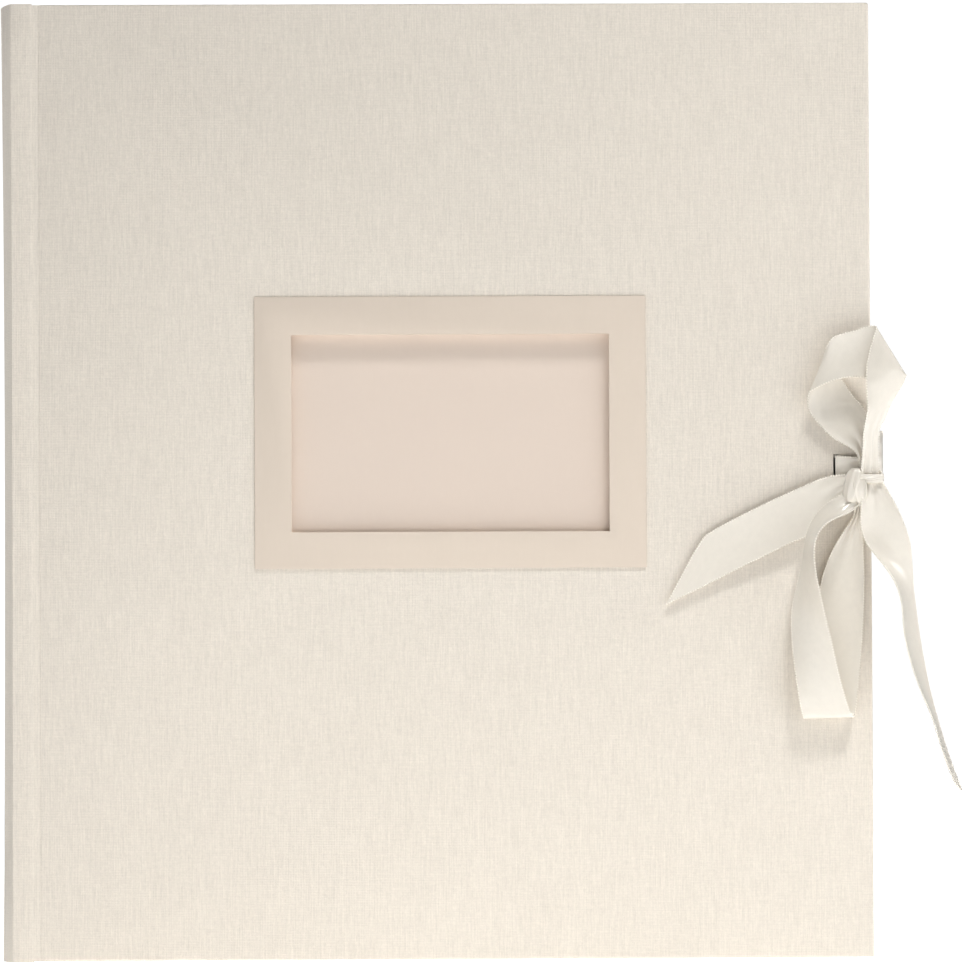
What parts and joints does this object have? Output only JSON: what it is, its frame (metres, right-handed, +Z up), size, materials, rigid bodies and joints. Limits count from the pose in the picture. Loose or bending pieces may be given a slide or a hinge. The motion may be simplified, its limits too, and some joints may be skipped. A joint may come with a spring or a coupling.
{
  "type": "scrapbook album",
  "caption": "Upright book-bound scrapbook album with linen covers, a framed picture window, card leaves and a satin ribbon tied in a bow at the fore-edge.",
  "frame": {"origin": "middle of the spine's foot, on the standing surface, midway between the two covers", "axes": "+Z up from foot to head, +X from the spine to the fore-edge, the front cover with its window faces -Y"},
  "size_m": [0.3187, 0.0563, 0.3206],
  "materials": {
    "linen_cloth": "fine matt linen weave",
    "greyboard": "matt",
    "frame_card": "smooth card",
    "backing_card": "smooth card",
    "endpaper": "matt",
    "leaf_paper": "matt card",
    "guard_paper": "matt",
    "gauze": "open weave",
    "lining_paper": "kraft",
    "band_cotton": "ribbed",
    "satin_ribbon": "satin"
  },
  "bodies": {
    "book_block": {"spine_board": "greyboard", "spine_cloth": "linen_cloth", "front_joint_strip": "greyboard", "back_joint_strip": "greyboard", "guard_block": "guard_paper", "mull_gauze": "gauze", "spine_lining": "lining_paper", "headband": "band_cotton", "tailband": "band_cotton"},
    "front_cover": {"front_board": "greyboard", "front_cover_cloth": "linen_cloth", "passepartout_frame": "frame_card", "window_backing_card": "backing_card", "front_pastedown": "endpaper", "front_ribbon_anchor": "satin_ribbon", "front_ribbon_strand": "satin_ribbon", "bow_knot": "satin_ribbon", "bow_upper_loop": "satin_ribbon", "bow_lower_loop": "satin_ribbon", "bow_left_tail": "satin_ribbon", "bow_right_tail": "satin_ribbon"},
    "back_cover": {"back_board": "greyboard", "back_cover_cloth": "linen_cloth", "back_pastedown": "endpaper", "back_ribbon_anchor": "satin_ribbon", "back_ribbon_strand": "satin_ribbon"},
    "front_flyleaf": {"front_flyleaf": "endpaper"},
    "back_flyleaf": {"back_flyleaf": "endpaper"},
    "leaf_01": {"leaf_01": "leaf_paper"},
    "leaf_02": {"leaf_02": "leaf_paper"},
    "leaf_03": {"leaf_03": "leaf_paper"},
    "leaf_04": {"leaf_04": "leaf_paper"},
    "leaf_05": {"leaf_05": "leaf_paper"},
    "leaf_06": {"leaf_06": "leaf_paper"},
    "leaf_07": {"leaf_07": "leaf_paper"},
    "leaf_08": {"leaf_08": "leaf_paper"},
    "leaf_09": {"leaf_09": "leaf_paper"},
    "leaf_10": {"leaf_10": "leaf_paper"},
    "leaf_11": {"leaf_11": "leaf_paper"},
    "leaf_12": {"leaf_12": "leaf_paper"},
    "leaf_13": {"leaf_13": "leaf_paper"},
    "leaf_14": {"leaf_14": "leaf_paper"},
    "leaf_15": {"leaf_15": "leaf_paper"},
    "leaf_16": {"leaf_16": "leaf_paper"},
    "leaf_17": {"leaf_17": "leaf_paper"},
    "leaf_18": {"leaf_18": "leaf_paper"},
    "leaf_19": {"leaf_19": "leaf_paper"},
    "leaf_20": {"leaf_20": "leaf_paper"},
    "leaf_21": {"leaf_21": "leaf_paper"},
    "leaf_22": {"leaf_22": "leaf_paper"},
    "leaf_23": {"leaf_23": "leaf_paper"},
    "leaf_24": {"leaf_24": "leaf_paper"},
    "leaf_25": {"leaf_25": "leaf_paper"},
    "leaf_26": {"leaf_26": "leaf_paper"},
    "leaf_27": {"leaf_27": "leaf_paper"},
    "leaf_28": {"leaf_28": "leaf_paper"},
    "leaf_29": {"leaf_29": "leaf_paper"},
    "leaf_30": {"leaf_30": "leaf_paper"}
  },
  "joints": [
    {"name": "front_cover_open", "type": "hinge", "parent": "book_block", "child": "front_cover", "pos_m": [0.0083, -0.0187, 0.1603], "axis": [0, 0, -1], "range_deg": [0, 180]},
    {"name": "back_cover_open", "type": "hinge", "parent": "book_block", "child": "back_cover", "pos_m": [0.0083, 0.0187, 0.1603], "axis": [0, 0, 1], "range_deg": [0, 180]},
    {"name": "front_flyleaf_turn", "type": "hinge", "parent": "book_block", "child": "front_flyleaf", "pos_m": [0.0224, -0.0141, 0.1603], "axis": [0, 0, -1], "range_deg": [0, 138.8]},
    {"name": "leaf_01_turn", "type": "hinge", "parent": "book_block", "child": "leaf_01", "pos_m": [0.0224, -0.0141, 0.1603], "axis": [0, 0, -1], "range_deg": [0, 133.9]},
    {"name": "leaf_02_turn", "type": "hinge", "parent": "book_block", "child": "leaf_02", "pos_m": [0.0224, -0.0141, 0.1603], "axis": [0, 0, -1], "range_deg": [0, 129.1]},
    {"name": "leaf_03_turn", "type": "hinge", "parent": "book_block", "child": "leaf_03", "pos_m": [0.0224, -0.0141, 0.1603], "axis": [0, 0, -1], "range_deg": [0, 124.2]},
    {"name": "leaf_04_turn", "type": "hinge", "parent": "book_block", "child": "leaf_04", "pos_m": [0.0224, -0.0141, 0.1603], "axis": [0, 0, -1], "range_deg": [0, 119.4]},
    {"name": "leaf_05_turn", "type": "hinge", "parent": "book_block", "child": "leaf_05", "pos_m": [0.0224, -0.0141, 0.1603], "axis": [0, 0, -1], "range_deg": [0, 114.5]},
    {"name": "leaf_06_turn", "type": "hinge", "parent": "book_block", "child": "leaf_06", "pos_m": [0.0224, -0.0141, 0.1603], "axis": [0, 0, -1], "range_deg": [0, 109.6]},
    {"name": "leaf_07_turn", "type": "hinge", "parent": "book_block", "child": "leaf_07", "pos_m": [0.0224, -0.0141, 0.1603], "axis": [0, 0, -1], "range_deg": [0, 104.8]},
    {"name": "leaf_08_turn", "type": "hinge", "parent": "book_block", "child": "leaf_08", "pos_m": [0.0224, -0.0141, 0.1603], "axis": [0, 0, -1], "range_deg": [0, 99.9]},
    {"name": "leaf_09_turn", "type": "hinge", "parent": "book_block", "child": "leaf_09", "pos_m": [0.0224, -0.0141, 0.1603], "axis": [0, 0, -1], "range_deg": [0, 95.1]},
    {"name": "leaf_10_turn", "type": "hinge", "parent": "book_block", "child": "leaf_10", "pos_m": [0.0224, -0.0141, 0.1603], "axis": [0, 0, -1], "range_deg": [0, 90.2]},
    {"name": "leaf_11_turn", "type": "hinge", "parent": "book_block", "child": "leaf_11", "pos_m": [0.0224, -0.0141, 0.1603], "axis": [0, 0, -1], "range_deg": [0, 85.3]},
    {"name": "leaf_12_turn", "type": "hinge", "parent": "book_block", "child": "leaf_12", "pos_m": [0.0224, -0.0141, 0.1603], "axis": [0, 0, -1], "range_deg": [0, 80.5]},
    {"name": "leaf_13_turn", "type": "hinge", "parent": "book_block", "child": "leaf_13", "pos_m": [0.0224, -0.0141, 0.1603], "axis": [0, 0, -1], "range_deg": [0, 75.6]},
    {"name": "leaf_14_turn", "type": "hinge", "parent": "book_block", "child": "leaf_14", "pos_m": [0.0224, -0.0141, 0.1603], "axis": [0, 0, -1], "range_deg": [0, 70.8]},
    {"name": "leaf_15_turn", "type": "hinge", "parent": "book_block", "child": "leaf_15", "pos_m": [0.0224, -0.0141, 0.1603], "axis": [0, 0, -1], "range_deg": [0, 65.9]},
    {"name": "leaf_16_turn", "type": "hinge", "parent": "book_block", "child": "leaf_16", "pos_m": [0.0224, 0.0141, 0.1603], "axis": [0, 0, 1], "range_deg": [0, 65.9]},
    {"name": "leaf_17_turn", "type": "hinge", "parent": "book_block", "child": "leaf_17", "pos_m": [0.0224, 0.0141, 0.1603], "axis": [0, 0, 1], "range_deg": [0, 70.8]},
    {"name": "leaf_18_turn", "type": "hinge", "parent": "book_block", "child": "leaf_18", "pos_m": [0.0224, 0.0141, 0.1603], "axis": [0, 0, 1], "range_deg": [0, 75.6]},
    {"name": "leaf_19_turn", "type": "hinge", "parent": "book_block", "child": "leaf_19", "pos_m": [0.0224, 0.0141, 0.1603], "axis": [0, 0, 1], "range_deg": [0, 80.5]},
    {"name": "leaf_20_turn", "type": "hinge", "parent": "book_block", "child": "leaf_20", "pos_m": [0.0224, 0.0141, 0.1603], "axis": [0, 0, 1], "range_deg": [0, 85.3]},
    {"name": "leaf_21_turn", "type": "hinge", "parent": "book_block", "child": "leaf_21", "pos_m": [0.0224, 0.0141, 0.1603], "axis": [0, 0, 1], "range_deg": [0, 90.2]},
    {"name": "leaf_22_turn", "type": "hinge", "parent": "book_block", "child": "leaf_22", "pos_m": [0.0224, 0.0141, 0.1603], "axis": [0, 0, 1], "range_deg": [0, 95.1]},
    {"name": "leaf_23_turn", "type": "hinge", "parent": "book_block", "child": "leaf_23", "pos_m": [0.0224, 0.0141, 0.1603], "axis": [0, 0, 1], "range_deg": [0, 99.9]},
    {"name": "leaf_24_turn", "type": "hinge", "parent": "book_block", "child": "leaf_24", "pos_m": [0.0224, 0.0141, 0.1603], "axis": [0, 0, 1], "range_deg": [0, 104.8]},
    {"name": "leaf_25_turn", "type": "hinge", "parent": "book_block", "child": "leaf_25", "pos_m": [0.0224, 0.0141, 0.1603], "axis": [0, 0, 1], "range_deg": [0, 109.6]},
    {"name": "leaf_26_turn", "type": "hinge", "parent": "book_block", "child": "leaf_26", "pos_m": [0.0224, 0.0141, 0.1603], "axis": [0, 0, 1], "range_deg": [0, 114.5]},
    {"name": "leaf_27_turn", "type": "hinge", "parent": "book_block", "child": "leaf_27", "pos_m": [0.0224, 0.0141, 0.1603], "axis": [0, 0, 1], "range_deg": [0, 119.4]},
    {"name": "leaf_28_turn", "type": "hinge", "parent": "book_block", "child": "leaf_28", "pos_m": [0.0224, 0.0141, 0.1603], "axis": [0, 0, 1], "range_deg": [0, 124.2]},
    {"name": "leaf_29_turn", "type": "hinge", "parent": "book_block", "child": "leaf_29", "pos_m": [0.0224, 0.0141, 0.1603], "axis": [0, 0, 1], "range_deg": [0, 129.1]},
    {"name": "leaf_30_turn", "type": "hinge", "parent": "book_block", "child": "leaf_30", "pos_m": [0.0224, 0.0141, 0.1603], "axis": [0, 0, 1], "range_deg": [0, 133.9]},
    {"name": "back_flyleaf_turn", "type": "hinge", "parent": "book_block", "child": "back_flyleaf", "pos_m": [0.0224, 0.0141, 0.1603], "axis": [0, 0, 1], "range_deg": [0, 138.8]}
  ],
  "couplings": [
    {"joint": "front_flyleaf_turn", "follows": "front_cover_open", "ratio": 0.76},
    {"joint": "leaf_01_turn", "follows": "front_cover_open", "ratio": 0.733},
    {"joint": "leaf_02_turn", "follows": "front_cover_open", "ratio": 0.706},
    {"joint": "leaf_03_turn", "follows": "front_cover_open", "ratio": 0.679},
    {"joint": "leaf_04_turn", "follows": "front_cover_open", "ratio": 0.652},
    {"joint": "leaf_05_turn", "follows": "front_cover_open", "ratio": 0.625},
    {"joint": "leaf_06_turn", "follows": "front_cover_open", "ratio": 0.598},
    {"joint": "leaf_07_turn", "follows": "front_cover_open", "ratio": 0.571},
    {"joint": "leaf_08_turn", "follows": "front_cover_open", "ratio": 0.544},
    {"joint": "leaf_09_turn", "follows": "front_cover_open", "ratio": 0.517},
    {"joint": "leaf_10_turn", "follows": "front_cover_open", "ratio": 0.49},
    {"joint": "leaf_11_turn", "follows": "front_cover_open", "ratio": 0.463},
    {"joint": "leaf_12_turn", "follows": "front_cover_open", "ratio": 0.436},
    {"joint": "leaf_13_turn", "follows": "front_cover_open", "ratio": 0.409},
    {"joint": "leaf_14_turn", "follows": "front_cover_open", "ratio": 0.382},
    {"joint": "leaf_15_turn", "follows": "front_cover_open", "ratio": 0.355},
    {"joint": "leaf_16_turn", "follows": "back_cover_open", "ratio": 0.355},
    {"joint": "leaf_17_turn", "follows": "back_cover_open", "ratio": 0.382},
    {"joint": "leaf_18_turn", "follows": "back_cover_open", "ratio": 0.409},
    {"joint": "leaf_19_turn", "follows": "back_cover_open", "ratio": 0.436},
    {"joint": "leaf_20_turn", "follows": "back_cover_open", "ratio": 0.463},
    {"joint": "leaf_21_turn", "follows": "back_cover_open", "ratio": 0.49},
    {"joint": "leaf_22_turn", "follows": "back_cover_open", "ratio": 0.517},
    {"joint": "leaf_23_turn", "follows": "back_cover_open", "ratio": 0.544},
    {"joint": "leaf_24_turn", "follows": "back_cover_open", "ratio": 0.571},
    {"joint": "leaf_25_turn", "follows": "back_cover_open", "ratio": 0.598},
    {"joint": "leaf_26_turn", "follows": "back_cover_open", "ratio": 0.625},
    {"joint": "leaf_27_turn", "follows": "back_cover_open", "ratio": 0.652},
    {"joint": "leaf_28_turn", "follows": "back_cover_open", "ratio": 0.679},
    {"joint": "leaf_29_turn", "follows": "back_cover_open", "ratio": 0.706},
    {"joint": "leaf_30_turn", "follows": "back_cover_open", "ratio": 0.733},
    {"joint": "back_flyleaf_turn", "follows": "back_cover_open", "ratio": 0.76}
  ]
}
